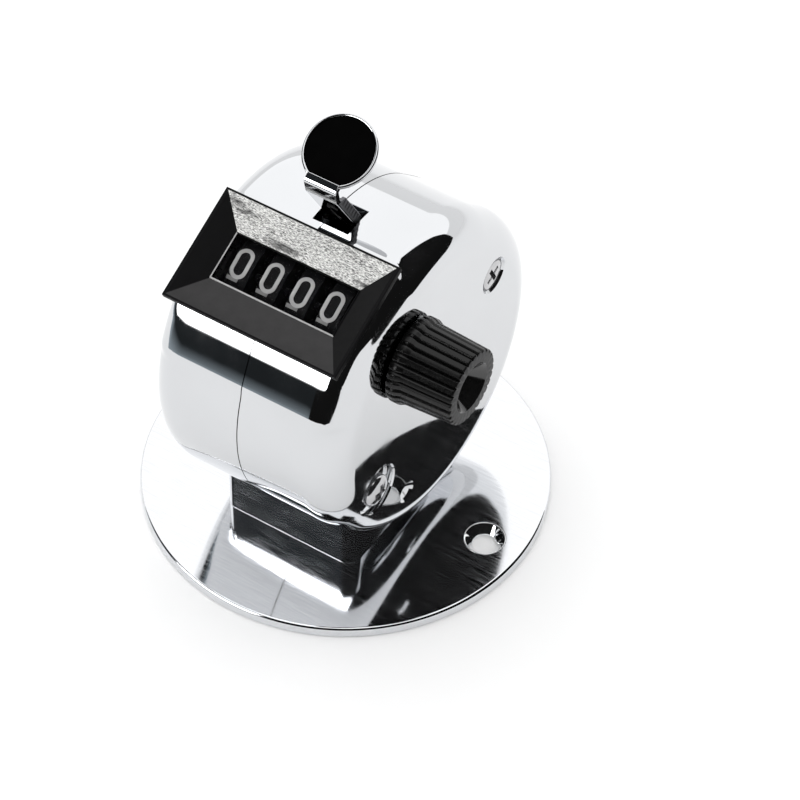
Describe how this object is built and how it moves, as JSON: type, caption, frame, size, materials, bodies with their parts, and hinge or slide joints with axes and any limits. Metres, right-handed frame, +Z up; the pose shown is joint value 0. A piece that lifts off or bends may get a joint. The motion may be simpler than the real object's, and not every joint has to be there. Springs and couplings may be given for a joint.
{
  "type": "hand tally counter",
  "caption": "Chromed hand tally counter on a round base, with number wheels in a black window frame, a thumb lever on top and a fluted reset knob.",
  "frame": {"origin": "centre of the base disc's underside", "axes": "+X towards the reset knob, +Y to the back, +Z up; the number window faces up and to the front (-Y)"},
  "size_m": [0.055, 0.055, 0.065],
  "materials": {
    "chrome": "bright chrome plate on zinc die casting and on the pressed lever",
    "zinc_steel": "zinc plated steel, plain",
    "screw_steel": "nickel plated screw heads",
    "black_plastic": "moulded black plastic, semi gloss",
    "black_enamel": "gloss black enamel",
    "white_nylon": "natural nylon",
    "clear_plastic": "clear moulded window strip"
  },
  "bodies": {
    "housing": {"base": "chrome", "base_screw_left": "zinc_steel", "base_screw_right": "zinc_steel", "shell_left": "chrome", "shell_right": "chrome", "bezel": "black_plastic", "window_lens": "clear_plastic", "case_screw_rear": "screw_steel", "case_screw_front": "screw_steel", "case_screw_washer": "screw_steel", "frame_plate_left": "zinc_steel", "frame_plate_right": "zinc_steel", "spacer_front": "zinc_steel", "spacer_lower": "zinc_steel", "pinion_shaft": "zinc_steel", "lever_pivot_pin": "zinc_steel", "lever_spring": "zinc_steel", "detent_spring": "zinc_steel"},
    "thumb_lever": {"lever": "chrome", "lever_pad_inlay": "black_enamel", "pawl_pin": "zinc_steel"},
    "pawl": {"drive_pawl": "zinc_steel"},
    "reset_spindle": {"wheel_shaft": "zinc_steel", "reset_knob": "black_plastic", "shaft_clip": "zinc_steel"},
    "number_units": {"wheel_units": "black_plastic"},
    "number_tens": {"wheel_tens": "black_plastic"},
    "carry_tens": {"pinion_tens": "white_nylon"},
    "number_hundreds": {"wheel_hundreds": "black_plastic"},
    "carry_hundreds": {"pinion_hundreds": "white_nylon"},
    "number_thousands": {"wheel_thousands": "black_plastic"},
    "carry_thousands": {"pinion_thousands": "white_nylon"}
  },
  "joints": [
    {"name": "lever_press", "type": "hinge", "parent": "housing", "child": "thumb_lever", "pos_m": [0.001, 0.005, 0.044], "axis": [1, 0, 0], "range_deg": [0, 11], "stiffness_Nm_per_rad": 0.012, "springref_deg": -14.32, "deforming": ["lever_spring"]},
    {"name": "pawl_swing", "type": "hinge", "parent": "thumb_lever", "child": "pawl", "pos_m": [0.00852, 0.0046, 0.0386], "axis": [1, 0, 0], "range_deg": [-6, 0]},
    {"name": "reset_turn", "type": "hinge", "parent": "housing", "child": "reset_spindle", "pos_m": [0.019, -0.0076, 0.0385], "axis": [1, 0, 0], "continuous": true},
    {"name": "units_turn", "type": "hinge", "parent": "housing", "child": "number_units", "pos_m": [0.00664, -0.0076, 0.0385], "axis": [1, 0, 0], "continuous": true},
    {"name": "tens_turn", "type": "hinge", "parent": "housing", "child": "number_tens", "pos_m": [0.00221, -0.0076, 0.0385], "axis": [1, 0, 0], "continuous": true},
    {"name": "carry_tens_turn", "type": "hinge", "parent": "housing", "child": "carry_tens", "pos_m": [0.00443, 0.00186, 0.03304], "axis": [1, 0, 0], "continuous": true},
    {"name": "hundreds_turn", "type": "hinge", "parent": "housing", "child": "number_hundreds", "pos_m": [-0.00221, -0.0076, 0.0385], "axis": [1, 0, 0], "continuous": true},
    {"name": "carry_hundreds_turn", "type": "hinge", "parent": "housing", "child": "carry_hundreds", "pos_m": [0, 0.00186, 0.03304], "axis": [1, 0, 0], "continuous": true},
    {"name": "thousands_turn", "type": "hinge", "parent": "housing", "child": "number_thousands", "pos_m": [-0.00664, -0.0076, 0.0385], "axis": [1, 0, 0], "continuous": true},
    {"name": "carry_thousands_turn", "type": "hinge", "parent": "housing", "child": "carry_thousands", "pos_m": [-0.00443, 0.00186, 0.03304], "axis": [1, 0, 0], "continuous": true}
  ],
  "couplings": [
    {"joint": "pawl_swing", "follows": "lever_press", "ratio": -0.5},
    {"joint": "carry_tens_turn", "follows": "tens_turn", "ratio": -2.5},
    {"joint": "carry_hundreds_turn", "follows": "hundreds_turn", "ratio": -2.5},
    {"joint": "carry_thousands_turn", "follows": "thousands_turn", "ratio": -2.5}
  ]
}
